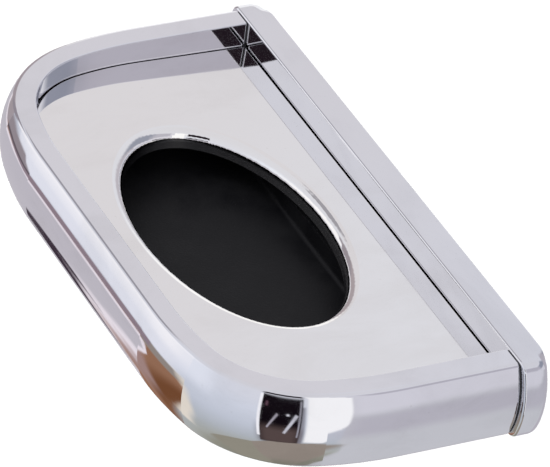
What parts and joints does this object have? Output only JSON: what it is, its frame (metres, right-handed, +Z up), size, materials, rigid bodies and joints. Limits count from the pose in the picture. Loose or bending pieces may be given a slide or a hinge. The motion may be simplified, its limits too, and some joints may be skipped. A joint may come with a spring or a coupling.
{
  "type": "wall soap holder",
  "caption": "Wall-mounted soap holder: a deep rounded rim on a wall rail, with a lift-out floor plate that has an oval drain opening over a drip pan.",
  "frame": {"origin": "centre of the wall rail's back face, on the wall plane", "axes": "+X along the wall to the viewer's right when facing the wall, +Y into the wall, +Z up"},
  "size_m": [0.1696, 0.0864, 0.022],
  "materials": {
    "rim_chrome": "polished chrome plating on cast metal",
    "rail_chrome": "polished chrome plating on cast metal",
    "plate_chrome": "polished chrome plating on pressed sheet",
    "clear_silicone": "clear soft silicone",
    "black_rubber": "matt",
    "black_plastic": "matt moulded",
    "screw_steel": "plain stainless",
    "bracket_steel": "zinc-plated pressing"
  },
  "bodies": {
    "holder": {"tray_frame": "rim_chrome", "rest_pads": "clear_silicone", "pan_gasket": "black_rubber", "drip_pan": "black_plastic", "pan_screws": "screw_steel", "joint_gasket": "black_rubber", "wall_rail": "rail_chrome", "spring_washers": "screw_steel", "tray_bolts": "screw_steel", "locating_pins": "screw_steel", "wall_bracket_left": "bracket_steel", "wall_bracket_right": "bracket_steel", "grub_screws": "screw_steel"},
    "lift_out_plate": {"floor_plate": "plate_chrome"}
  },
  "joints": [
    {"name": "floor_plate_lift", "type": "slide", "parent": "holder", "child": "lift_out_plate", "axis": [0, 0, 1], "range_m": [0, 0.03]}
  ]
}
